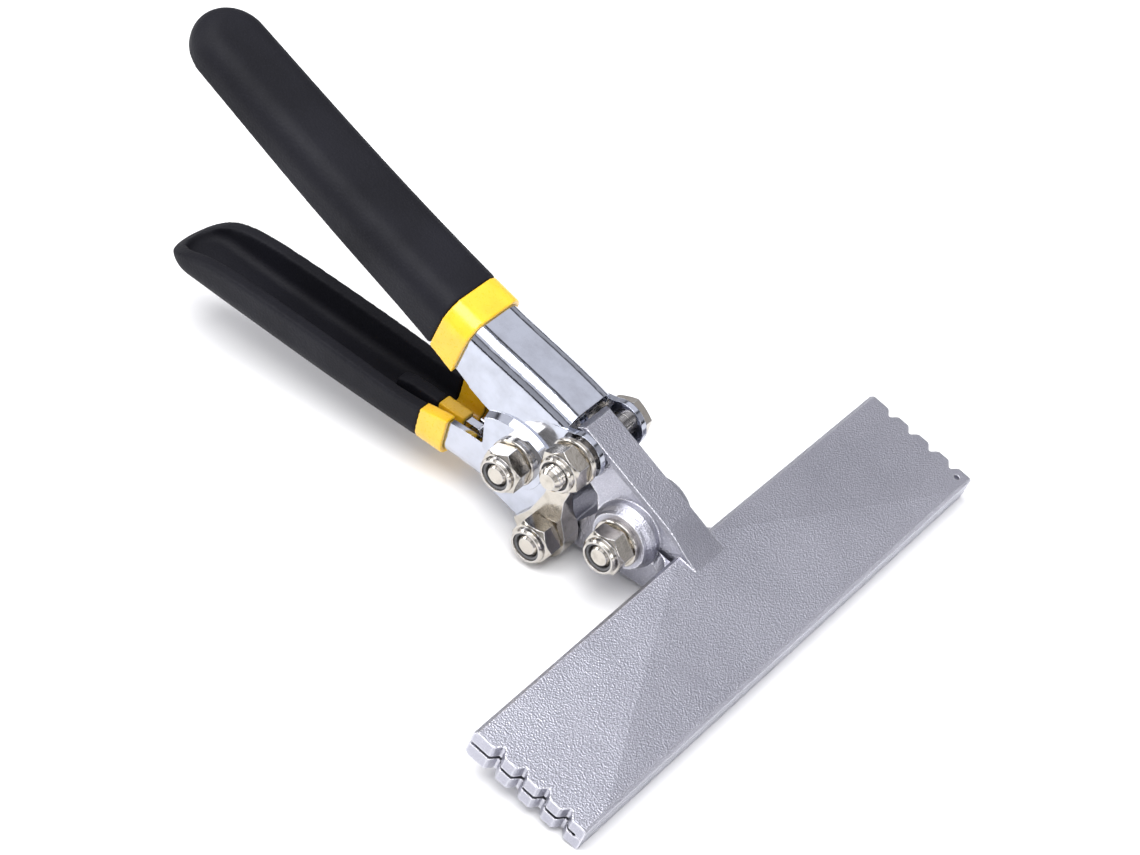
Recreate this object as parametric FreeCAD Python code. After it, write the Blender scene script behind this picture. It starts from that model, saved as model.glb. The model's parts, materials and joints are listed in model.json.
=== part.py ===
import FreeCAD, Part
import math
import os

# Hand seamer with 6 inch straight jaws: two cast jaws on one hinge, closed by two
# pressed channel handles through a compound four-pivot linkage.
# Lengths are millimetres.  The tool frame has its origin at the middle of the front
# edge of the jaws, on the plane between them: +X from handles to jaws, +Y along the
# jaws, +Z towards the upper jaw.  At the end everything is tilted onto its rest pose.

V = FreeCAD.Vector
AXIS_Y = V(0, 1, 0)

# ---------------------------------------------------------------- jaws
JAW_WIDTH = 152.4            # 6 inch jaw
JAW_DEPTH = 31.75            # 1-1/4 inch throat
JAW_FRONT_T = 3.6            # one jaw's thickness at the front edge
JAW_END_T = 4.1              # one jaw's thickness at its rear corners
ROOT_T = 6.8                 # jaw thickness where the shank runs into it
RIDGE_SLOPE = 0.275          # rise of the upper shank's back towards the handles
ROOT_HALF = 4.6              # half width of the raised middle facet at the shank
FACET_HALF = 70.0            # half width of the raised middle facet at the front edge
LIP_LENGTH = 1.8             # front lip that grips; behind it the faces are relieved
RELIEF = 0.5                 # depth of that relief in each jaw
JAW_GAP = 0.05               # each jaw face stands this far off the middle plane
NOTCH_PITCH = 6.35           # depth marks, a quarter inch apart
NOTCH_FIRST = 5.6
NOTCH_COUNT = 4
NOTCH_DEPTH = 1.9
NOTCH_MOUTH = 2.5
NOTCH_ROOT = 0.6
NOTCH_LIP = 0.5              # small flats that soften the mouth of a mark

# ---------------------------------------------------------------- pivots (x, z)
PIN_A = (-74.5, 0.5)         # handle to handle
PIN_B = (-61.6, 14.0)        # upper handle on upper jaw shank
PIN_C = (-61.0, -13.0)       # lower handle on lower jaw tail
PIN_D = (-44.0, 2.5)         # jaw to jaw
BOLT_R = 3.0
FIT = 0.05                   # running clearance round a bolt
OPEN_PIVOT_FIT = 0.2         # clearance round bolt A in the lower handle

# ---------------------------------------------------------------- stack across Y
SHEET = 1.6
CHANNEL_OUT = 8.6            # outer half width of both channels
CHANNEL_IN = CHANNEL_OUT - SHEET
PAD_IN = CHANNEL_OUT + 0.15  # the upper handle's raised pad clears the lower handle
PAD_OUT = PAD_IN + SHEET
STOP_IN = CHANNEL_OUT + 0.1
STOP_OUT = STOP_IN + 1.4
COLLAR_R = 3.9
COLLAR_OUT = STOP_OUT + 0.15
BOSS_OUT = 10.2
FAR_BOSS_OUT = 7.6
SUNK_HEAD_R = 5.2
SUNK_HEAD_H = 1.5
TAIL_HALF = 6.85
TAIL_R = 4.7
NOSE_R = 4.9
STOP_R = 6.2
EAR_R = 6.0                  # the upper handle round bolt B
SHANK_HALF = 4.2
CHEEK_IN = 4.4
WASHER_R = 6.0
WASHER_T = 1.2
HEX_FLATS = 10.0
HEAD_H = 2.8
NUT_H = 6.4
STUD_SHOW = -0.3             # bolt ends sit just inside their nuts
STUD_SHOW_B = 2.6            # except bolt B, which sticks out
END_CHAMFER = 0.9
THREAD_PITCH = 1.0
OPEN_TRAVEL = 24.0           # turn of the upper handle against the lower, fully open

# ---------------------------------------------------------------- coating and handles
COAT = 1.3
INNER_COAT = 0.6
RIB_HALF = 1.1               # half thickness of the strip inside the lower handle
RIM_COAT = 0.8               # the coating's thickness over the channel's rim
UPPER_BACK = [(-67.3, 20.0), (-80, 21.3), (-95, 22.2), (-110, 23.9), (-135, 27.8),
              (-160, 32.6), (-185, 37.9), (-200, 41.0)]
UPPER_RIM = [(-67.3, 6.0), (-88, 6.1), (-98, 9.4), (-108, 12.4), (-122, 15.6),
             (-150, 21.9), (-175, 28.4), (-200, 34.8)]
UPPER_END = -193.4
LOWER_BACK = [(-70.0, -15.8), (-84, -16.4), (-100, -18.8), (-124, -23.0), (-140, -25.4),
              (-160, -28.2), (-188, -31.8)]
LOWER_RIM = [(-70.0, -4.0), (-84.5, -4.6), (-94, -6.6), (-104, -10.0), (-122, -13.0),
             (-142, -15.9), (-160, -19.0), (-171, -22.2), (-177.5, -26.2),
             (-182.5, -31.0), (-188, -36.6)]
LOWER_END = -182.0
BAND_LENGTH = 7.8
TROUGH_DEEP = 40.0           # depth of the blank that a handle is trimmed from
GRIP_REACH = 130.0           # more than the length of either grip
UPPER_BAND = (98.4, 3.0)     # distance back from the jaw edge, lean of the cut
LOWER_BAND = (94.6, -5.5)

# ---------------------------------------------------------------- rest pose
REST_TILT = 14.64
ORIGIN_X = -91.71
FLOOR_Z = -3.36


# ======================================================================= helpers
def at(x, z, y=0.0):
    return V(x, y, z)


def outline(edges, y0, y1):
    """Solid from a closed chain of edges in the XZ plane, swept from y0 to y1."""
    face = Part.Face(Part.Wire(Part.__sortEdges__(edges)))
    face.translate(V(0, y0, 0))
    return face.extrude(V(0, y1 - y0, 0))


def polygon(points, y0, y1):
    ring = [at(x, z) for x, z in points]
    return outline([Part.makeLine(a, b) for a, b in zip(ring, ring[1:] + ring[:1])], y0, y1)


def smooth(points):
    curve = Part.BSplineCurve()
    curve.interpolate([at(x, z) for x, z in points])
    return curve.toShape()


def disc(pin, radius, y0, y1):
    return Part.makeCylinder(radius, y1 - y0, at(pin[0], pin[1], y0), AXIS_Y)


def both_sides(shape):
    return Part.makeCompound([shape, shape.mirror(V(0, 0, 0), AXIS_Y)])


def join(first, *others):
    return first.multiFuse(list(others)).removeSplitter()


def hull_of_discs(a, ra, b, rb, y0, y1):
    """Plate that wraps two round ends, with straight tangent sides."""
    dx, dz = b[0] - a[0], b[1] - a[1]
    along = math.atan2(dz, dx)
    lean = math.acos((ra - rb) / math.hypot(dx, dz))
    ring = []
    for pin, r, side in ((a, ra, 1), (b, rb, 1), (b, rb, -1), (a, ra, -1)):
        t = along + side * lean
        ring.append((pin[0] + r * math.cos(t), pin[1] + r * math.sin(t)))
    return join(polygon(ring, y0, y1), disc(a, ra, y0, y1), disc(b, rb, y0, y1))


def revolve_about_pin(pin, profile):
    """Ring or disc from an (r, y) profile turned about the axis of a pivot."""
    ring = [V(r, y, 0) for r, y in profile]
    edges = [Part.makeLine(a, b) for a, b in zip(ring, ring[1:] + ring[:1])]
    turned = Part.Face(Part.Wire(edges)).revolve(V(0, 0, 0), AXIS_Y, 360)
    turned.translate(at(pin[0], pin[1]))
    return turned


# ======================================================================= jaws
def faceted_blade():
    """Jaw blade: thick middle facet running out to thin end wings, flat underneath."""
    half = JAW_WIDTH / 2
    rear = -JAW_DEPTH
    root = V(rear, ROOT_HALF, ROOT_T)
    toe = V(0, FACET_HALF, JAW_FRONT_T)
    corner = V(rear, half, JAW_END_T)
    normal = (toe - root).cross(corner - root)
    toe_end_z = root.z - (normal.x * (0 - root.x) + normal.y * (half - root.y)) / normal.z

    def flip(p):
        return V(p.x, -p.y, p.z)

    end = V(0, half, toe_end_z)
    low = [V(rear, -half, 0), V(0, -half, 0), V(0, half, 0), V(rear, half, 0)]
    rings = [
        low,
        [flip(root), root, toe, flip(toe)],
        [root, corner, end, toe],
        [flip(root), flip(corner), flip(end), flip(toe)],
        [low[0], low[3], corner, root, flip(root), flip(corner)],
        [low[1], low[2], end, toe, flip(toe), flip(end)],
        [low[2], low[3], corner, end],
        [low[1], low[0], flip(corner), flip(end)],
    ]
    faces = [Part.Face(Part.makePolygon(ring + ring[:1])) for ring in rings]
    return Part.makeSolid(Part.makeShell(faces))


def notch(x, side):
    """Trapezoid depth mark cut through one end of the jaw, with rounded lips."""
    edge = side * (JAW_WIDTH / 2)
    deep = edge - side * NOTCH_DEPTH
    past = edge + side * 2.0
    wide, narrow, lip = NOTCH_MOUTH / 2, NOTCH_ROOT / 2, NOTCH_LIP
    ring = [
        V(x - wide - lip, past, -1), V(x - wide - lip, edge, -1),
        V(x - wide, edge - side * 0.45, -1), V(x - narrow, deep, -1),
        V(x + narrow, deep, -1), V(x + wide, edge - side * 0.45, -1),
        V(x + wide + lip, edge, -1), V(x + wide + lip, past, -1),
    ]
    return Part.Face(Part.makePolygon(ring + ring[:1])).extrude(V(0, 0, ROOT_T + 2))


def bevel(start, stop, depth, outward, steep=1.0):
    """Wedge that takes the corner off an upper edge running along the jaw."""
    over = 4.0
    ring = [start + V(outward * over, 0, -steep * (depth + over)),
            start + V(-outward * (depth + over), 0, steep * over),
            start + V(outward * over, 0, steep * over)]
    run = stop - start
    wedge = Part.Face(Part.makePolygon(ring + ring[:1])).extrude(run * 1.1)
    wedge.translate(run * -0.05)
    return wedge


def finished_blade():
    blade = faceted_blade()
    half = JAW_WIDTH / 2
    cuts = [
        Part.makeBox(JAW_DEPTH + 2 - LIP_LENGTH, JAW_WIDTH + 4, RELIEF + 1,
                     V(-JAW_DEPTH - 2, -JAW_WIDTH / 2 - 2, -1)),
        Part.makeBox(JAW_DEPTH + 2, JAW_WIDTH + 4, JAW_GAP + 1,
                     V(-JAW_DEPTH - 1, -JAW_WIDTH / 2 - 2, -1)),
        bevel(V(0, -half, JAW_FRONT_T), V(0, half, JAW_FRONT_T), 0.7, 1),
    ]
    for side in (-1, 1):
        root = V(-JAW_DEPTH, side * ROOT_HALF, ROOT_T)
        corner = V(-JAW_DEPTH, side * half, JAW_END_T)
        cuts.append(bevel(root, corner, 0.9, -1))
        cuts.append(bevel(root, corner, 0.35, -1, 2.2))
    for k in range(NOTCH_COUNT):
        for side in (-1, 1):
            cuts.append(notch(-NOTCH_FIRST - k * NOTCH_PITCH, side))
    return blade.cut(cuts)


def root_web(half_width, reach, top):
    """Curved gusset each side of a shank, blending it into the blade's rear edge."""
    block = Part.makeBox(reach, reach, top, V(-JAW_DEPTH - reach + 0.4, half_width, 0))
    hollow = Part.makeCylinder(reach, top + 2, V(-JAW_DEPTH - reach + 0.4,
                                                 half_width + reach, -1))
    return both_sides(block.cut(hollow))


def ridge_z(x):
    """Height of the upper shank's back."""
    return 9.2 + RIDGE_SLOPE * (-JAW_DEPTH - x)


def upper_jaw():
    rear = PIN_B[0] - 4.6
    front = -JAW_DEPTH + 8.0
    face = RELIEF + JAW_GAP
    run_out = [(-36.5, ridge_z(-36.5)), (-31.5, 8.5), (-28.0, 7.0), (front, 5.6)]
    rest = [run_out[-1], (front, face), (-35.0, face), (-38.0, -2.2), (-44.0, -4.6),
            (-50.0, -2.0), (-54.5, 6.0), (-57.5, 7.4), (rear, 9.0),
            (rear, ridge_z(rear) - 1.2), (rear + 1.6, ridge_z(rear + 1.6)), run_out[0]]
    side = outline([smooth(run_out)] + [Part.makeLine(at(*a), at(*b))
                                        for a, b in zip(rest, rest[1:])], -BOSS_OUT, BOSS_OUT)
    lean = math.degrees(math.atan(RIDGE_SLOPE))
    section = [
        V(0, -4.4, 0.2), V(0, 4.4, 0.2), V(0, 5.2, -0.9), V(0, 7.4, -13),
        V(0, 7.4, -40), V(0, -7.4, -40), V(0, -7.4, -13), V(0, -5.2, -0.9),
    ]
    bar = Part.Face(Part.makePolygon(section + section[:1])).extrude(V(60, 0, 0))
    bar.rotate(V(0, 0, 0), AXIS_Y, lean)
    bar.translate(at(rear - 1, ridge_z(rear - 1)))
    shank = side.common(bar)
    slot = [
        V(0, -3.4, -3.4), V(0, 3.4, -3.4), V(0, CHEEK_IN, -4.4), V(0, CHEEK_IN, -50),
        V(0, -CHEEK_IN, -50), V(0, -CHEEK_IN, -4.4),
    ]
    hollow = Part.Face(Part.makePolygon(slot + slot[:1])).extrude(V(26.2, 0, 0))
    hollow.rotate(V(0, 0, 0), AXIS_Y, lean)
    hollow.translate(at(-57.2, ridge_z(-57.2)))
    near_boss = revolve_about_pin(PIN_D, [
        (0, -CHEEK_IN), (8.5, -CHEEK_IN), (8.5, -7.2), (8.1, -8.3), (7.5, -9.2),
        (7.2, -BOSS_OUT), (0, -BOSS_OUT)])
    far_boss = revolve_about_pin(PIN_D, [
        (0, CHEEK_IN), (7.9, CHEEK_IN), (7.5, FAR_BOSS_OUT), (0, FAR_BOSS_OUT)])
    webs = root_web(6.8, 4.5, 5.0)
    tail_room = disc(PIN_D, 26.0, -CHEEK_IN, CHEEK_IN).common(
        Part.makeBox(40, 2 * CHEEK_IN, 11.0, at(-70, -12.0, -CHEEK_IN)))
    body = join(finished_blade(), shank, near_boss, far_boss, webs)
    body = body.cut([hollow, tail_room])
    below = Part.makeBox(8, 40, 8, at(-JAW_DEPTH, -8 + RELIEF + JAW_GAP, -20))
    mark = Part.makeCylinder(0.7, 3.0, V(-2.8, 73.4, 2.0))
    holes = [disc(PIN_B, BOLT_R + FIT, -30, 30), disc(PIN_D, BOLT_R + FIT, -30, 30),
             disc(PIN_D, SUNK_HEAD_R + 0.15, FAR_BOSS_OUT - SUNK_HEAD_H, 30)]
    return body.cut([below, mark] + holes)


def lower_jaw():
    blade = finished_blade().mirror(V(0, 0, 0), V(0, 0, 1))
    side = join(polygon([
        (-30.0, -RELIEF - JAW_GAP), (-36.2, -RELIEF - JAW_GAP), (-39.6, 5.4), (-48.6, 5.2),
        (-53.6, -2.0), (-57.4, -9.6), (-63.0, -16.4), (-60.0, -17.4), (-56.0, -15.6),
        (-50.0, -14.0), (-40.0, -12.0), (-34.0, -10.6), (-29.0, -8.4), (-26.4, -6.0),
        (-26.4, -1.0),
    ], -SHANK_HALF, SHANK_HALF), disc(PIN_D, 5.4, -SHANK_HALF, SHANK_HALF))
    tail = disc(PIN_C, TAIL_R, -TAIL_HALF, TAIL_HALF)
    webs = root_web(SHANK_HALF - 0.4, 5.0, 4.4).mirror(V(0, 0, 0), V(0, 0, 1))
    webs.translate(V(0, 0, -1.3))
    body = join(blade, side, tail, webs)
    above = Part.makeBox(8, 40, 8, at(-JAW_DEPTH, -RELIEF - JAW_GAP, -20))
    body = body.cut(above)
    holes = [disc(PIN_C, BOLT_R + FIT, -30, 30), disc(PIN_D, BOLT_R + FIT, -30, 30)]
    return body.cut(holes)


# ======================================================================= handles
def trough(back, rim, end, half, grow, radius, open_side=0.0):
    """Rounded bar between a back line and a rim line, with a half-round plan end.
    grow moves the back and the end outwards; open_side moves the rim outwards."""
    up = 1 if back[0][1] > rim[0][1] else -1
    top = [(x, z + up * grow) for x, z in back]
    low = [(x, z - up * open_side) for x, z in rim]
    deep = [(x, z - up * TROUGH_DEEP) for x, z in (top[-1], top[0])]
    sky = [(x, z + up * TROUGH_DEEP) for x, z in (top[-1], top[0])]
    sky[0] = (low[-1][0], sky[0][1])
    body = outline([
        smooth(top), Part.makeLine(at(*top[-1]), at(*deep[0])),
        Part.makeLine(at(*deep[0]), at(*deep[1])), Part.makeLine(at(*deep[1]), at(*top[0])),
    ], -half, half)
    tip = end - grow
    plan = Part.makeBox(200, 2 * half, 160, V(tip + half, -half, -80)).fuse(
        Part.makeCylinder(half, 160, V(tip + half, 0, -80)))
    body = body.common(plan.removeSplitter())
    face = max(body.Faces, key=lambda f: up * f.CenterOfMass.z * (f.Area > 400))
    front = max(e.CenterOfMass.x for e in face.Edges)
    edges = [e for e in face.Edges if e.CenterOfMass.x < front - 0.5]
    kept = outline([
        smooth(low), Part.makeLine(at(*low[-1]), at(*sky[0])),
        Part.makeLine(at(*sky[0]), at(*sky[1])), Part.makeLine(at(*sky[1]), at(*low[0])),
    ], -half - 1, half + 1)
    return body.makeFillet(radius, edges).common(kept)


def channel(back, rim, end):
    skin = trough(back, rim, end, CHANNEL_OUT, 0.0, 4.4)
    room = trough(back, rim, end, CHANNEL_IN, -SHEET, 2.8, 30.0)
    return skin.cut(room)


def coating(back, rim, end, steel):
    skin = trough(back, rim, end, CHANNEL_OUT + COAT, COAT, 5.6, RIM_COAT)
    room = trough(back, rim, end, CHANNEL_IN - INNER_COAT, -SHEET - INNER_COAT, 2.2, 30.0)
    return skin.cut([room, steel])


def zone(station, start, stop):
    """Slice of a handle between two leaning cuts, start and stop back from its station."""
    back, lean = station
    block = Part.makeBox(stop - start, 60, 200, V(-back - stop, -30, -100))
    block.rotate(V(-back, 0, 0), AXIS_Y, lean)
    return block


def upper_handle():
    shell = channel(UPPER_BACK, UPPER_RIM, UPPER_END)
    ear = join(
        disc(PIN_B, EAR_R, 6.0, 11.0),
        disc(PIN_A, 7.6, 6.0, 11.0),
        polygon([(-72.0, 16.0), (-64.0, 19.2), (-57.6, 9.6), (-67.0, 8.8), (-68.4, 6.4),
                 (-67.4, 2.0), (-74.5, 4.0), (-82.0, 9.0)], 6.0, 11.0),
        polygon([(-86.2, 6.6), (-83.4, -3.0), (-81.6, -5.2), (-76.4, -6.9), (-69.0, 4.0),
                 (-74.0, 10.0), (-86.0, 12.0)], 6.0, 11.0),
    )
    plate = Part.makeBox(40, SHEET, 60, V(-95, CHANNEL_IN, -30))
    pad_centre = (-75.5, -6.5)
    raised = revolve_about_pin(pad_centre, [
        (0, PAD_IN), (14.9, PAD_IN), (16.0, CHANNEL_IN), (19.0, CHANNEL_IN),
        (19.0, CHANNEL_OUT), (16.4, CHANNEL_OUT), (15.3, PAD_OUT), (0, PAD_OUT)])
    flat_zone = plate.cut(disc(pad_centre, 18.6, 0, 20))
    side = ear.common(flat_zone.fuse(raised))
    window = disc(pad_centre, 18.6, -20, 20).common(
        Part.makeBox(40, 40, 60, V(-90, -20, -40)))
    shell = shell.cut(window.cut(Part.makeBox(60, 2 * CHANNEL_IN - 0.2, 60,
                                              V(-100, -CHANNEL_IN + 0.1, -40))))
    wall_patch = trough_wall_patch().common(flat_zone.fuse(raised))
    body = join(shell, both_sides(side), both_sides(wall_patch))
    holes = [disc(PIN_A, BOLT_R + FIT, -30, 30), disc(PIN_B, BOLT_R + FIT, -30, 30)]
    return body.cut(holes)


def trough_wall_patch():
    """Outline of the handle's side wall above the raised pad."""
    return polygon([(-67.3, 15.4), (-80, 16.6), (-93.0, 17.4), (-93.0, 7.4), (-88.2, 6.2),
                    (-80, 5.0), (-67.3, 5.6)], 6.0, 11.0)


def lower_handle():
    shell = channel(LOWER_BACK, LOWER_RIM, LOWER_END)
    web = join(
        hull_of_discs(PIN_A, 6.2, PIN_C, NOSE_R, CHANNEL_IN, CHANNEL_OUT),
        polygon([(-79.6, 3.9), (-84.9, -4.9), (-86.0, -10.0), (-80.0, -14.6),
                 (-70.0, -15.7), (-62.6, -17.6), (-66.0, -4.0)], CHANNEL_IN, CHANNEL_OUT),
    )
    body = join(shell, both_sides(web))
    holes = [disc(PIN_A, BOLT_R + OPEN_PIVOT_FIT, -30, 30), disc(PIN_C, BOLT_R + FIT, -30, 30)]
    return body.cut(holes)


# ======================================================================= grips
def grip_parts(coat, station):
    """The dipped coat, cut into the black grip and the yellow band in front of it."""
    band = coat.common(zone(station, 0.0, BAND_LENGTH))
    grip = coat.common(zone(station, BAND_LENGTH, BAND_LENGTH + GRIP_REACH))
    return grip, band


def rib():
    """Narrow stiffening strip standing on the floor of the lower handle."""
    return polygon([(-113.0, -19.6), (-113.0, -15.4), (-110.0, -13.9), (-90.0, -10.6),
                    (-88.2, -11.8), (-88.2, -15.3), (-100.0, -17.4)], -RIB_HALF, RIB_HALF)


def rib_coat():
    """The dip that covers the strip, as a thicker strip round it."""
    half = RIB_HALF + RIM_COAT
    return polygon([(-113.8, -20.4), (-113.8, -14.8), (-110.2, -13.0), (-90.0, -9.7),
                    (-90.0, -16.2)], -half, half)


# ======================================================================= stop plate
def stop_plate():
    """Pressed stop under bolt C, with a turned-in front lip round the handle nose."""
    plate = join(
        polygon([(-69.2, -15.4), (-66.4, -9.5), (-64.9, -2.0), (-64.7, 6.4), (-64.0, 8.4),
                 (-59.4, 8.4), (-59.2, 4.6), (-59.6, 0.0), (-58.4, -5.0), (-55.4, -9.8),
                 (-60.0, -16.0), (-67.4, -17.0)], STOP_IN, STOP_OUT),
        disc(PIN_C, STOP_R, STOP_IN, STOP_OUT),
    )
    lip = revolve_about_pin(PIN_C, [(NOSE_R + 0.1, CHEEK_IN + 0.4), (STOP_R, CHEEK_IN + 0.4),
                                    (STOP_R, STOP_OUT), (NOSE_R + 0.1, STOP_OUT)])
    keep = polygon([(-61.8, -26.0), (-50.0, -26.0), (-50.0, -7.0), (-58.5, -7.0)], 0, 20)
    flange = polygon([(-60.6, 8.4), (-59.4, 8.4), (-59.2, 4.6), (-59.6, 0.0), (-58.4, -5.0),
                      (-55.4, -9.8), (-56.6, -9.8), (-59.8, -5.0), (-60.9, 0.0),
                      (-60.5, 4.6)], CHEEK_IN + 0.4, STOP_OUT)
    taper = Part.Face(Part.makePolygon([
        V(-70, STOP_IN, 8.4), V(-70, CHEEK_IN + 0.4, -8.0), V(-70, 0, -8.0), V(-70, 0, 8.4),
        V(-70, STOP_IN, 8.4)])).extrude(V(30, 0, 0))
    side = join(plate, lip.common(keep), flange.cut(taper))
    reach_x, reach_z = PIN_B[0] - PIN_A[0], PIN_B[1] - PIN_A[1]
    cuts = [disc(PIN_C, BOLT_R + FIT, 0, 20)]
    for step in range(9):
        turn = math.radians(-OPEN_TRAVEL * step / 8.0)
        x = PIN_A[0] + reach_x * math.cos(turn) - reach_z * math.sin(turn)
        z = PIN_A[1] + reach_x * math.sin(turn) + reach_z * math.cos(turn)
        cuts.append(disc((x, z), COLLAR_R + 0.3, 0, 20))
        cuts.append(disc((x, z), EAR_R + 0.4, 0, STOP_IN))
    return side.cut(cuts).mirror(V(0, 0, 0), AXIS_Y)


# ======================================================================= fasteners
def hexagon(pin, y0, y1, turn):
    reach = HEX_FLATS / math.sqrt(3)
    corners = [(pin[0] + reach * math.cos(math.radians(60 * k + turn)),
                pin[1] + reach * math.sin(math.radians(60 * k + turn))) for k in range(6)]
    return polygon(corners, y0, y1)


def bolt(pin, near, far, show, turn, sunk):
    """Bolt with its head on the far side and a grooved thread end on the near side.
    near and far are the faces that the nut and the head bear on."""
    end = -(near + NUT_H + show)
    profile = [(0, far + 0.5), (BOLT_R, far + 0.5), (BOLT_R, -near + 1.0)]
    y = -near + 1.0
    while y - THREAD_PITCH > end + END_CHAMFER + 0.1:
        profile.append((BOLT_R - 0.42, y - THREAD_PITCH * 0.5))
        profile.append((BOLT_R, y - THREAD_PITCH))
        y -= THREAD_PITCH
    profile += [(BOLT_R - 0.1, end + END_CHAMFER), (BOLT_R - END_CHAMFER, end), (0, end)]
    shank = revolve_about_pin(pin, profile)
    if sunk:
        top = far + SUNK_HEAD_H - 0.1
        slot = Part.makeBox(12, 2, 1.2, V(-6, top - 0.8, -0.6))
        slot.rotate(V(0, 0, 0), AXIS_Y, turn)
        slot.translate(at(pin[0], pin[1]))
        head = revolve_about_pin(pin, [
            (0, far), (SUNK_HEAD_R, far), (SUNK_HEAD_R, top - 0.4), (SUNK_HEAD_R - 0.4, top),
            (0, top)]).cut(slot)
    else:
        crown = revolve_about_pin(pin, [
            (0, far), (4.85, far), (5.0, far + 0.2), (5.8, far + 0.5), (5.8, far + 2.4),
            (4.8, far + HEAD_H), (3.4, far + HEAD_H), (3.0, far + HEAD_H - 0.35),
            (0, far + HEAD_H - 0.35)])
        head = crown.common(hexagon(pin, far, far + HEAD_H, turn))
    return join(head, shank)


def nut(pin, seat, turn):
    """Locking nut: hexagon with a round collar that holds the nylon ring."""
    bore = BOLT_R + 0.03
    body = revolve_about_pin(pin, [
        (bore, -seat), (4.85, -seat), (5.0, -seat - 0.2), (5.8, -seat - 0.6),
        (5.8, -seat - 4.0), (4.9, -seat - 4.7), (4.5, -seat - 4.9), (4.5, -seat - 5.9),
        (4.1, -seat - NUT_H), (3.65, -seat - NUT_H), (3.6, -seat - 6.0), (3.85, -seat - 5.8),
        (3.85, -seat - 4.3), (bore, -seat - 4.3)])
    return body.common(hexagon(pin, -seat - NUT_H, -seat, turn))


def nylon_ring(pin, seat):
    return revolve_about_pin(pin, [
        (BOLT_R + 0.04, -seat - 4.35), (3.8, -seat - 4.35), (3.8, -seat - 5.75),
        (3.5, -seat - 6.0), (BOLT_R + 0.04, -seat - 5.8)])


def washer(pin, seat):
    return revolve_about_pin(pin, [
        (BOLT_R + 0.2, seat), (WASHER_R, seat), (WASHER_R, seat + WASHER_T - 0.25),
        (WASHER_R - 0.25, seat + WASHER_T), (BOLT_R + 0.2, seat + WASHER_T)])


def mirrored(shape):
    return shape.mirror(V(0, 0, 0), AXIS_Y)


def sleeve(pin, outer, y0, y1):
    return disc(pin, outer, y0, y1).cut(disc(pin, BOLT_R + FIT, y0 - 1, y1 + 1))


# ======================================================================= assembly
nodes = {
    "upper_jaw": upper_jaw(),
    "lower_jaw": lower_jaw(),
    "upper_handle": upper_handle(),
    "lower_handle": lower_handle(),
}
upper_coat = coating(UPPER_BACK, UPPER_RIM, UPPER_END, nodes["upper_handle"])
nodes["upper_grip"], nodes["upper_grip_band"] = grip_parts(upper_coat, UPPER_BAND)
nodes["lower_handle_rib"] = rib().cut(nodes["lower_handle"])
lower_coat = join(coating(LOWER_BACK, LOWER_RIM, LOWER_END, nodes["lower_handle"]),
                  rib_coat().cut(nodes["lower_handle"])).cut(nodes["lower_handle_rib"])
nodes["lower_grip"], nodes["lower_grip_band"] = grip_parts(lower_coat, LOWER_BAND)
nodes["stop_plate"] = stop_plate()
nodes["handle_link_spacer"] = sleeve(PIN_A, 4.6, -CHANNEL_IN + FIT, CHANNEL_IN - FIT)
nodes["upper_pivot_collar"] = mirrored(sleeve(PIN_B, COLLAR_R, CHANNEL_OUT + FIT, COLLAR_OUT))

# near seat, far seat, stud length past the nut, hexagon turn, near washer, far washer
stacks = {
    "jaw_pivot": (PIN_D, BOSS_OUT, FAR_BOSS_OUT - SUNK_HEAD_H, STUD_SHOW, 12, True, False),
    "upper_handle": (PIN_B, COLLAR_OUT, CHANNEL_OUT + FIT, STUD_SHOW_B, 34, True, False),
    "lower_handle": (PIN_C, STOP_OUT, CHANNEL_OUT, STUD_SHOW, 4, False, False),
    "handle_link": (PIN_A, PAD_OUT, PAD_OUT, STUD_SHOW, 21, True, True),
}
for name, (pin, near, far, show, turn, near_washer, far_washer) in stacks.items():
    washers = []
    if near_washer:
        washers.append(mirrored(washer(pin, near)))
        near += WASHER_T
    if far_washer:
        washers.append(washer(pin, far))
        far += WASHER_T
    nodes[name + "_bolt"] = bolt(pin, near, far, show, turn, name == "jaw_pivot")
    nodes[name + "_nut"] = nut(pin, near, turn + 9)
    nodes[name + "_nut_ring"] = nylon_ring(pin, near)
    if washers:
        nodes[name + "_washers"] = Part.makeCompound(washers)

os.makedirs("parts", exist_ok=True)
for name, shape in nodes.items():
    shape.rotate(V(0, 0, 0), AXIS_Y, REST_TILT)
    shape.translate(V(-ORIGIN_X, 0, -FLOOR_Z))
    shape.exportStep("parts/" + name + ".step")
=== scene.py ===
import json
import math

import bpy
from mathutils import Matrix, Vector


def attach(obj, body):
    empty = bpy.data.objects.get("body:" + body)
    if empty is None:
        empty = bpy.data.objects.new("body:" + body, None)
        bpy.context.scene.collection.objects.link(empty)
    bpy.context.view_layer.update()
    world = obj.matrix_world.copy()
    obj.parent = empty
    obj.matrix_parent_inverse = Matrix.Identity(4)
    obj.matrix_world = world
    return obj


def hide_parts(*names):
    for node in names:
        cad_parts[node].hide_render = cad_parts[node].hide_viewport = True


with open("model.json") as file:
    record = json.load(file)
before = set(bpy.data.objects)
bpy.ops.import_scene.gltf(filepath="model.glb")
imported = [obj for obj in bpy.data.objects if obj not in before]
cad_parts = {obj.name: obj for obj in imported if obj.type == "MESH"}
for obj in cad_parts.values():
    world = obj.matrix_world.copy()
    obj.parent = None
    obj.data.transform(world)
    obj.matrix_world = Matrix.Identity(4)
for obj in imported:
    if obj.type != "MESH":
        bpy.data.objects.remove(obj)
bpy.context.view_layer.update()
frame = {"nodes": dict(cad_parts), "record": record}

# Looks of the hand seamer: cast jaws, plated pressed handles, dipped grips, M6 fasteners.
# Everything is in metres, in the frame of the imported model.  The CAD solids are dressed
# with procedural materials; only the four dipped coats are remade, with softer rims.

MM = 0.001
NODES = frame["nodes"]

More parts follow.
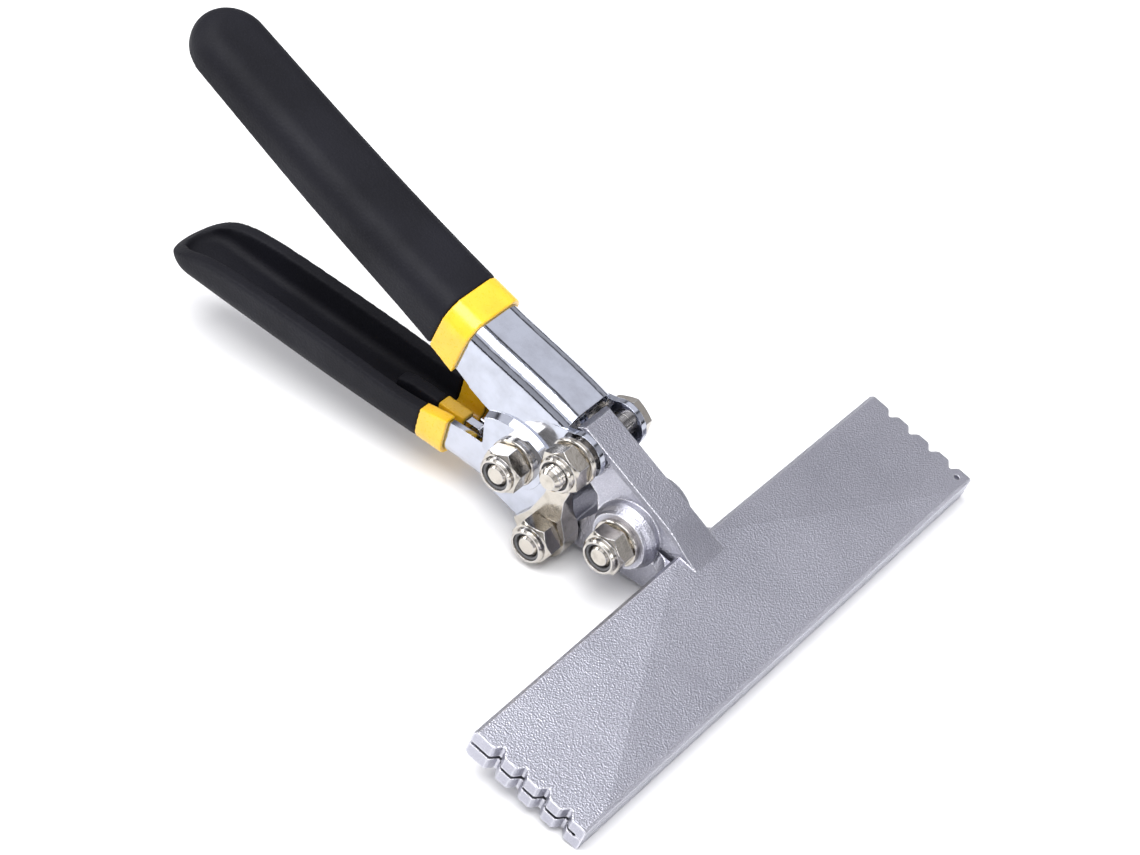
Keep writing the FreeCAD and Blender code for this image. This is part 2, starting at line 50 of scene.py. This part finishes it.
# ------------------------------------------------------------------ colours
CAST_COLOUR = (0.46, 0.46, 0.52)        # satin plating on a casting, faintly lavender
CAST_DARK = (0.37, 0.37, 0.425)
# The next colour is painted shade, laid into the hollows of the cast grain.
CAST_PAINTED_SHADE = (0.19, 0.19, 0.225)
CAST_HIGHLIGHT_AND_WEAR = (0.82, 0.82, 0.86)           # painted highlight on the high grains, also lightening the worn edges
CHROME_COLOUR = (0.52, 0.545, 0.62)
CHROME_DULL = (0.42, 0.435, 0.49)         # hazy patches of the bright plating
NICKEL_COLOUR = (0.55, 0.515, 0.46)
NICKEL_DARK = (0.26, 0.235, 0.20)
BLACK_VINYL = (0.0045, 0.0045, 0.0075)
BLACK_WORN = (0.014, 0.014, 0.021)
YELLOW_VINYL = (0.90, 0.54, 0.020)
YELLOW_DEEP = (0.80, 0.41, 0.012)
NYLON = (0.13, 0.13, 0.135)
NYLON_DARK = (0.07, 0.07, 0.075)

# ------------------------------------------------------------------ surface sizes
PEBBLE = 0.42 * MM                        # grain of the cast skin
CAST_FILLET = 0.35 * MM                   # shaded rounding of the edges
SHEET_FILLET = 0.25 * MM
TURNED_FILLET = 0.22 * MM
CAST_WEAR = 0.9 * MM                      # width of the polished edges, which also take a painted highlight
TURNED_WEAR = 0.5 * MM
BEVEL_SAMPLES = 6
EDGE_FLAT = 0.99                          # cosine of the turn where an edge begins,
EDGE_SHARP = 0.85                         # and where it counts as fully sharp
LEATHER = 0.62 * MM                       # grain of the black dip
GRIP_VOXEL = 0.42 * MM                    # mesh pitch of the dipped coats
GRIP_ROUNDS = 12                          # smoothing passes, which round their rims
BAND_VOXEL = 0.30 * MM
BAND_ROUNDS = 8
SMOOTH_FACTOR = 0.5

# ------------------------------------------------------------------ camera and stage
AZIMUTH = 32.82
ELEVATION = 40.19
ROLL = 7.45
DISTANCE = 681.0 * MM
TARGET = Vector((25.94, 1.0, 29.36)) * MM
LENS = 94.7
SENSOR = 36.0

FLOOR_HALF = 3.0
FLOOR_COLOUR = (0.90, 0.90, 0.905)
FLOOR_ROUGHNESS = 0.75
SKY_BOTTOM = (0.02, 0.02, 0.025, 1)
SKY_TOP = (0.50, 0.51, 0.56, 1)
SKY_BLUE = 1.05                           # blue against red and green in the sky
# Tone of the sky by the sine of its height.  The dark bands show as lines in the plating.
SKY_STOPS = ((0.10, 0.04), (0.17, 0.62), (0.55, 0.52), (0.60, 0.12), (0.64, 0.12), (0.68, 1.06),
             (0.83, 0.96), (0.86, 0.10), (0.89, 0.10), (0.92, 0.60))
# name, place, size, watts
SOFTBOXES = (
    ("key", (0.05, -0.25, 1.30), (1.40, 1.10), 24.0),
    ("fill", (-1.15, -0.75, 0.60), (0.6, 0.5), 6.0),
    ("front", (1.25, -0.60, 0.45), (0.5, 0.5), 4.0),
)


# ================================================================== node helpers
class Shader:
    """A material under construction, with short calls for the nodes it is made of."""

    def __init__(self, name):
        self.material = bpy.data.materials.new(name)
        self.material.use_nodes = True
        self.tree = self.material.node_tree
        self.surface = self.tree.nodes["Principled BSDF"]
        place = self.add("ShaderNodeTexCoord")
        self.place = place.outputs["Object"]
        self.last_normal = None

    def add(self, kind, **settings):
        node = self.tree.nodes.new(kind)
        for key, value in settings.items():
            setattr(node, key, value)
        return node

    def link(self, source, target):
        self.tree.links.new(source, target)

    def set(self, **values):
        for key, value in values.items():
            self.surface.inputs[key.replace("_", " ")].default_value = value

    def stretched(self, scale):
        """Coordinates scaled by a vector, for grain that runs one way."""
        node = self.add("ShaderNodeMapping")
        node.inputs["Scale"].default_value = scale
        self.link(self.place, node.inputs["Vector"])
        return node.outputs["Vector"]

    def noise(self, size, detail=3.0, rough=0.55, vector=None):
        """Noise whose features are about size metres across."""
        node = self.add("ShaderNodeTexNoise")
        node.inputs["Scale"].default_value = 1.0 / size
        node.inputs["Detail"].default_value = detail
        node.inputs["Roughness"].default_value = rough
        self.link(vector or self.place, node.inputs["Vector"])
        return node.outputs["Fac"]

    def cells(self, size):
        """Distance to the nearest of scattered points, about size metres apart."""
        node = self.add("ShaderNodeTexVoronoi", feature="SMOOTH_F1")
        node.inputs["Scale"].default_value = 1.0 / size
        node.inputs["Smoothness"].default_value = 0.6
        self.link(self.place, node.inputs["Vector"])
        return node.outputs["Distance"]

    def spread(self, value, low, high, to_low=0.0, to_high=1.0):
        """Maps value from low..high to to_low..to_high, clamped."""
        node = self.add("ShaderNodeMapRange")
        node.inputs["From Min"].default_value = low
        node.inputs["From Max"].default_value = high
        node.inputs["To Min"].default_value = to_low
        node.inputs["To Max"].default_value = to_high
        self.link(value, node.inputs["Value"])
        return node.outputs["Result"]

    def math(self, operation, first, second):
        node = self.add("ShaderNodeMath", operation=operation)
        for socket, value in zip(node.inputs, (first, second)):
            if isinstance(value, (int, float)):
                socket.default_value = value
            else:
                self.link(value, socket)
        return node.outputs[0]

    def mix(self, factor, first, second):
        """Colour between first and second by factor."""
        node = self.add("ShaderNodeMix", data_type="RGBA")
        self.link(factor, node.inputs["Factor"])
        for identifier, value in (("A_Color", first), ("B_Color", second)):
            socket = [s for s in node.inputs if s.identifier == identifier][0]
            if isinstance(value, tuple):
                socket.default_value = (*value, 1.0)
            else:
                self.link(value, socket)
        return [s for s in node.outputs if s.identifier == "Result_Color"][0]

    def edges(self, radius):
        """Where the surface turns sharply: 0 on flats, rising to 1 on edges."""
        bevel = self.add("ShaderNodeBevel", samples=BEVEL_SAMPLES)
        bevel.inputs["Radius"].default_value = radius
        geometry = self.add("ShaderNodeNewGeometry")
        dot = self.add("ShaderNodeVectorMath", operation="DOT_PRODUCT")
        self.link(bevel.outputs["Normal"], dot.inputs[0])
        self.link(geometry.outputs["Normal"], dot.inputs[1])
        return self.spread(dot.outputs["Value"], EDGE_FLAT, EDGE_SHARP)

    def rounded(self, radius):
        """Starts the normal from softly rounded edges."""
        bevel = self.add("ShaderNodeBevel", samples=BEVEL_SAMPLES)
        bevel.inputs["Radius"].default_value = radius
        self.last_normal = bevel.outputs["Normal"]

    def bump(self, height, depth, strength=1.0):
        """Adds relief of depth metres on top of the relief so far."""
        node = self.add("ShaderNodeBump")
        node.inputs["Strength"].default_value = strength
        node.inputs["Distance"].default_value = depth
        self.link(height, node.inputs["Height"])
        if self.last_normal is not None:
            self.link(self.last_normal, node.inputs["Normal"])
        self.last_normal = node.outputs["Normal"]

    def finish(self, colour, roughness):
        self.link(colour, self.surface.inputs["Base Color"])
        self.link(roughness, self.surface.inputs["Roughness"])
        if self.last_normal is not None:
            self.link(self.last_normal, self.surface.inputs["Normal"])
        return self.material


# ================================================================== materials
def cast_chrome():
    """Satin plating over a pebbled casting, polished a little along its edges, with painted
    shade in the grain's hollows and a painted highlight on the grain's tops and along the edges.
    """
    s = Shader("satin_cast_chrome")
    s.set(Metallic=1.0)
    pebbles = s.cells(PEBBLE)
    fine = s.noise(PEBBLE * 0.55, 2.5, 0.6)
    swell = s.noise(7 * MM, 3.0)
    broad = s.noise(34 * MM, 2.0)
    worn = s.edges(CAST_WEAR)
    s.rounded(CAST_FILLET)
    s.bump(swell, 0.06 * MM)
    s.bump(pebbles, 0.09 * MM, 1.0)
    s.bump(fine, 0.055 * MM, 0.9)
    tone = s.mix(s.spread(broad, 0.35, 0.7), CAST_COLOUR, CAST_DARK)
    # Painted shade in the hollows of the grain, where the bump noise is lowest.
    tone = s.mix(s.spread(fine, 0.42, 0.30, 0.0, 0.45), tone, CAST_PAINTED_SHADE)
    # Painted highlight on the tops of the grain, where the bump noise is highest.
    tone = s.mix(s.spread(fine, 0.56, 0.70, 0.0, 0.6), tone, CAST_HIGHLIGHT_AND_WEAR)
    # Edges polished by wear and also painted lighter, as a painted highlight.
    tone = s.mix(s.math("MULTIPLY", worn, 0.75), tone, CAST_HIGHLIGHT_AND_WEAR)
    rough = s.spread(fine, 0.3, 0.7, 0.44, 0.28)
    return s.finish(tone, s.math("SUBTRACT", rough, s.math("MULTIPLY", worn, 0.12)))


def bright_chrome():
    """Bright plating on pressed sheet: faint press waves, fine scratches, hazy patches."""
    s = Shader("bright_chrome")
    s.set(Metallic=1.0)
    waves = s.noise(11 * MM, 1.5)
    haze = s.noise(5 * MM, 4.0)
    scratches = s.noise(1.2 * MM, 3.0, 0.6, s.stretched((0.12, 1.0, 1.0)))
    s.rounded(SHEET_FILLET)
    s.bump(waves, 0.06 * MM)
    s.bump(scratches, 0.004 * MM, 0.4)
    tone = s.mix(s.spread(haze, 0.4, 0.75), CHROME_COLOUR, CHROME_DULL)
    rough = s.math("ADD", s.spread(haze, 0.35, 0.75, 0.04, 0.12),
                   s.spread(scratches, 0.5, 0.75, 0.0, 0.10))
    return s.finish(tone, rough)


def nickel_plate():
    """Warm nickel with darker blotches and worn edges, on fasteners and the stop plate."""
    s = Shader("nickel_plate")
    s.set(Metallic=1.0)
    blotch = s.noise(2.4 * MM, 4.0)
    grain = s.noise(0.35 * MM, 2.0)
    tool_marks = s.noise(0.5 * MM, 2.0, 0.5, s.stretched((0.3, 1.0, 0.3)))
    worn = s.edges(TURNED_WEAR)
    s.rounded(TURNED_FILLET)
    s.bump(blotch, 0.03 * MM)
    s.bump(tool_marks, 0.006 * MM, 0.5)
    tone = s.mix(s.spread(blotch, 0.5, 0.8, 0.0, 0.6), NICKEL_COLOUR, NICKEL_DARK)
    tone = s.mix(s.math("MULTIPLY", worn, 0.6), tone, CHROME_COLOUR)
    return s.finish(tone, s.spread(grain, 0.3, 0.7, 0.10, 0.24))


def black_vinyl():
    """Matte dip coating with a fine leathery grain and rubbed high spots."""
    s = Shader("black_dip")
    s.set(Specular_IOR_Level=0.20)
    grain = s.cells(LEATHER)
    fine = s.noise(0.30 * MM, 3.0)
    swell = s.noise(9 * MM, 2.0)
    rubbed = s.noise(26 * MM, 3.0)
    s.bump(swell, 0.18 * MM)
    s.bump(grain, 0.075 * MM, 0.8)
    s.bump(fine, 0.035 * MM, 0.6)
    specks = s.spread(fine, 0.55, 0.75, 0.0, 0.7)
    tone = s.mix(s.spread(rubbed, 0.4, 0.75, 0.0, 0.5), BLACK_VINYL, BLACK_WORN)
    tone = s.mix(specks, tone, BLACK_WORN)
    return s.finish(tone, s.spread(rubbed, 0.3, 0.7, 0.70, 0.56))


def yellow_vinyl():
    """Glossy yellow dip, a little deeper where it pools."""
    s = Shader("yellow_dip")
    s.set(Coat_Weight=0.35, Coat_Roughness=0.10, Subsurface_Weight=0.04)
    pool = s.noise(6 * MM, 2.0)
    skin = s.noise(0.7 * MM, 3.0)
    s.bump(pool, 0.14 * MM)
    s.bump(skin, 0.012 * MM, 0.6)
    tone = s.mix(s.spread(pool, 0.35, 0.75, 0.0, 0.6), YELLOW_VINYL, YELLOW_DEEP)
    return s.finish(tone, s.spread(skin, 0.3, 0.7, 0.24, 0.38))


def nylon():
    """Locking ring of the nuts: plain grey nylon with a waxy, uneven skin."""
    s = Shader("nylon_insert")
    skin = s.noise(0.4 * MM, 3.0)
    s.bump(skin, 0.03 * MM, 0.7)
    tone = s.mix(s.spread(skin, 0.35, 0.7), NYLON, NYLON_DARK)
    return s.finish(tone, s.spread(skin, 0.3, 0.7, 0.38, 0.55))


MAKERS = {
    "satin_cast_chrome": cast_chrome,
    "bright_chrome": bright_chrome,
    "nickel_plate": nickel_plate,
    "black_dip": black_vinyl,
    "yellow_dip": yellow_vinyl,
    "nylon_insert": nylon,
}
MATERIALS = {name: make() for name, make in MAKERS.items()}
SLOT_OF = {part["node"]: part["material_slot"] for part in frame["record"]["subparts"]}


def dress(obj, slot):
    obj.data.materials.clear()
    obj.data.materials.append(MATERIALS[slot])


# ================================================================== pieces
def dress_cad_nodes():
    for name, obj in NODES.items():
        material = MATERIALS[SLOT_OF[name]]
        slots = obj.data.materials
        for index in range(len(slots)):
            slots[index] = material
        if len(slots) == 0:
            slots.append(material)


def soft_coat(node, name, body, voxel, rounds):
    """Dipped coating remade from its CAD solid with the soft, rounded rims that a
    dip leaves, kept inside the CAD solid's own skin."""
    mesh = NODES[node].data.copy()
    piece = bpy.data.objects.new(name, mesh)
    bpy.context.scene.collection.objects.link(piece)
    remesh = piece.modifiers.new("remesh", "REMESH")
    remesh.mode = "VOXEL"
    remesh.voxel_size = voxel
    smooth = piece.modifiers.new("smooth", "SMOOTH")
    smooth.factor = SMOOTH_FACTOR
    smooth.iterations = rounds
    graph = bpy.context.evaluated_depsgraph_get()
    finished = bpy.data.meshes.new_from_object(piece.evaluated_get(graph))
    piece.modifiers.clear()
    piece.data = finished
    for face in finished.polygons:
        face.use_smooth = True
    slot = SLOT_OF[node]
    dress(piece, slot)
    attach(piece, body)
    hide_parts(node)


dress_cad_nodes()
for side in ("upper", "lower"):
    soft_coat(f"{side}_grip", f"{side}_grip_dip", f"{side}_handle", GRIP_VOXEL, GRIP_ROUNDS)
    soft_coat(f"{side}_grip_band", f"{side}_band_dip", f"{side}_handle", BAND_VOXEL, BAND_ROUNDS)


# ================================================================== stage
def plain(name, colour, roughness):
    material = bpy.data.materials.new(name)
    material.use_nodes = True
    surface = material.node_tree.nodes["Principled BSDF"]
    surface.inputs["Base Color"].default_value = (*colour, 1.0)
    surface.inputs["Roughness"].default_value = roughness
    return material


def make_floor():
    half = FLOOR_HALF
    mesh = bpy.data.meshes.new("floor")
    corners = [(-half, -half, 0), (half, -half, 0), (half, half, 0), (-half, half, 0)]
    mesh.from_pydata(corners, [], [(0, 1, 2, 3)])
    mesh.materials.append(plain("floor_paper", FLOOR_COLOUR, FLOOR_ROUGHNESS))
    floor = bpy.data.objects.new("floor", mesh)
    bpy.context.scene.collection.objects.link(floor)


def aim(obj, place, target):
    obj.location = place
    obj.rotation_mode = "QUATERNION"
    obj.rotation_quaternion = (target - Vector(place)).to_track_quat("-Z", "Y")


def area_light(name, place, size, watts):
    light = bpy.data.lights.new(name, "AREA")
    light.shape = "RECTANGLE"
    light.size, light.size_y = size
    light.energy = watts
    lamp = bpy.data.objects.new(name, light)
    bpy.context.scene.collection.objects.link(lamp)
    aim(lamp, place, TARGET)


def studio_sky():
    """Pale dome crossed by dark bands, which plated parts mirror as lines."""
    world = bpy.data.worlds.new("studio")
    world.use_nodes = True
    tree = world.node_tree
    place = tree.nodes.new("ShaderNodeTexCoord")
    split = tree.nodes.new("ShaderNodeSeparateXYZ")
    ramp = tree.nodes.new("ShaderNodeValToRGB")
    tree.links.new(place.outputs["Generated"], split.inputs[0])
    tree.links.new(split.outputs["Z"], ramp.inputs["Fac"])
    tree.links.new(ramp.outputs["Color"], tree.nodes["Background"].inputs["Color"])
    stops = ramp.color_ramp.elements
    stops[0].position = 0.0
    stops[0].color = SKY_BOTTOM
    stops[1].position = 1.0
    stops[1].color = SKY_TOP
    for height, tone in SKY_STOPS:
        stop = stops.new(height)
        stop.color = (tone, tone, tone * SKY_BLUE, 1)
    bpy.context.scene.world = world


def make_lights():
    studio_sky()
    for softbox in SOFTBOXES:
        area_light(*softbox)


def make_camera():
    camera = bpy.data.cameras.new("camera")
    camera.lens = LENS
    camera.sensor_width = SENSOR
    camera.clip_start = 0.05
    camera.clip_end = 50.0
    turn = math.radians(AZIMUTH)
    rise = math.radians(ELEVATION)
    back = Vector((math.sin(turn) * math.cos(rise), -math.cos(turn) * math.cos(rise),
                   math.sin(rise)))
    eye = bpy.data.objects.new("camera", camera)
    bpy.context.scene.collection.objects.link(eye)
    eye.location = TARGET + back * DISTANCE
    level = (-back).to_track_quat("-Z", "Y").to_matrix()
    eye.rotation_mode = "QUATERNION"
    rolled = level @ Matrix.Rotation(math.radians(ROLL), 3, "Z")
    eye.rotation_quaternion = rolled.to_quaternion()
    bpy.context.scene.camera = eye


make_floor()
make_lights()
make_camera()
bpy.context.scene.view_settings.view_transform = "Standard"
